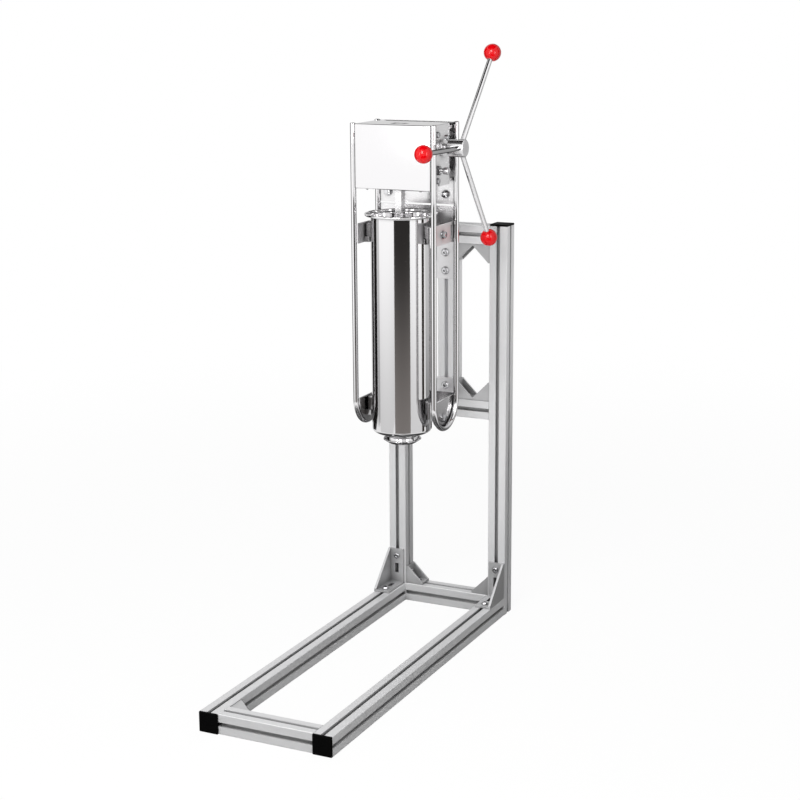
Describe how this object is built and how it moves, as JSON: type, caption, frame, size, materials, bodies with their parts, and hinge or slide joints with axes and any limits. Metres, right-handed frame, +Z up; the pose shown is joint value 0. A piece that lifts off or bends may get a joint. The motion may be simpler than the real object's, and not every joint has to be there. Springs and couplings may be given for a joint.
{
  "type": "churro maker",
  "caption": "Upright hand churro press: steel barrel, rack-driven piston and ball-ended lever, on an L-shaped stand of slotted aluminium profile.",
  "frame": {"origin": "on the floor, on the centre plane, under the front land of the rear base crossbar's underside", "axes": "+Z up, -Y towards the user, +X towards the lever"},
  "size_m": [0.2985, 0.8509, 1.239],
  "materials": {
    "anodised_profile": "clear anodised, fine satin",
    "cast_bracket": "die cast, tumbled",
    "black_cap": "fine matte",
    "polished_stainless": "mirror polished",
    "satin_stainless": "satin",
    "zinc_screw": "bright zinc plated",
    "machined_steel": "milled and turned",
    "red_knob": "glossy",
    "seal_rubber": "smooth, food grade",
    "white_nylon": "turned, satin"
  },
  "bodies": {
    "press_and_stand": {"base_arm_left": "anodised_profile", "base_arm_right": "anodised_profile", "base_front_crossbar": "anodised_profile", "base_rear_crossbar": "anodised_profile", "rear_post_left": "anodised_profile", "rear_post_right": "anodised_profile", "lower_crossbar": "anodised_profile", "upper_crossbar": "anodised_profile", "middle_post": "anodised_profile", "arm_end_caps": "black_cap", "post_top_caps": "black_cap", "corner_bracket_left": "cast_bracket", "corner_bracket_right": "cast_bracket", "corner_bracket_screws": "zinc_screw", "upper_frame_gussets": "cast_bracket", "lower_frame_gussets": "cast_bracket", "base_gussets": "cast_bracket", "gusset_screws": "zinc_screw", "slot_nuts": "zinc_screw", "upper_mount_bracket": "satin_stainless", "lower_mount_bracket": "satin_stainless", "mount_screws": "zinc_screw", "side_loop_left": "polished_stainless", "side_loop_right": "polished_stainless", "upper_holder_plates": "polished_stainless", "lower_holder_plates": "polished_stainless", "holder_bolts": "zinc_screw", "upper_cross_plate": "polished_stainless", "lower_cross_plate": "polished_stainless", "barrel": "polished_stainless", "outlet_neck": "polished_stainless", "barrel_ears": "polished_stainless", "barrel_cradles": "polished_stainless", "head_front_cover": "polished_stainless", "head_side_plate_left": "polished_stainless", "head_side_plate_right": "polished_stainless", "head_back_plate": "polished_stainless", "upper_rack_guide": "machined_steel", "lower_rack_guide": "machined_steel", "head_tie_bar": "machined_steel", "head_screws": "zinc_screw", "shaft_bushes": "satin_stainless", "lock_nut": "zinc_screw"},
    "lever": {"pinion_shaft": "machined_steel", "drive_pinion": "machined_steel", "shaft_collar": "machined_steel", "lever_hub": "polished_stainless", "lever_spokes": "polished_stainless", "lever_knob_1": "red_knob", "lever_knob_2": "red_knob", "lever_knob_3": "red_knob"},
    "rack_and_piston": {"rack": "machined_steel", "rack_foot": "machined_steel", "piston_lower_disc": "polished_stainless", "piston_seal": "seal_rubber", "piston_upper_disc": "polished_stainless"},
    "rack_lock": {"lock_screw": "polished_stainless"},
    "die": {"nozzle_die": "white_nylon"},
    "ring": {"nozzle_ring": "polished_stainless"}
  },
  "joints": [
    {"name": "lever_turn", "type": "hinge", "parent": "press_and_stand", "child": "lever", "pos_m": [0, -0.2092, 1.04], "axis": [-1, 0, 0], "range_deg": [0, 1882]},
    {"name": "rack_slide", "type": "slide", "parent": "press_and_stand", "child": "rack_and_piston", "axis": [0, 0, 1], "range_m": [0, 0.46]},
    {"name": "lock_slide", "type": "slide", "parent": "press_and_stand", "child": "rack_lock", "axis": [-1, 0, 0], "range_m": [0, 0.003]},
    {"name": "die_drop", "type": "slide", "parent": "press_and_stand", "child": "die", "axis": [0, 0, -1], "range_m": [0, 0.009]},
    {"name": "ring_turn", "type": "hinge", "parent": "die", "child": "ring", "pos_m": [0, -0.2292, 0.436], "axis": [0, 0, -1], "range_deg": [0, 1080]}
  ],
  "couplings": [
    {"joint": "rack_slide", "follows": "lever_turn", "m_per_rad": 0.014},
    {"joint": "ring_turn", "follows": "die_drop", "rad_per_m": 2094.4}
  ]
}
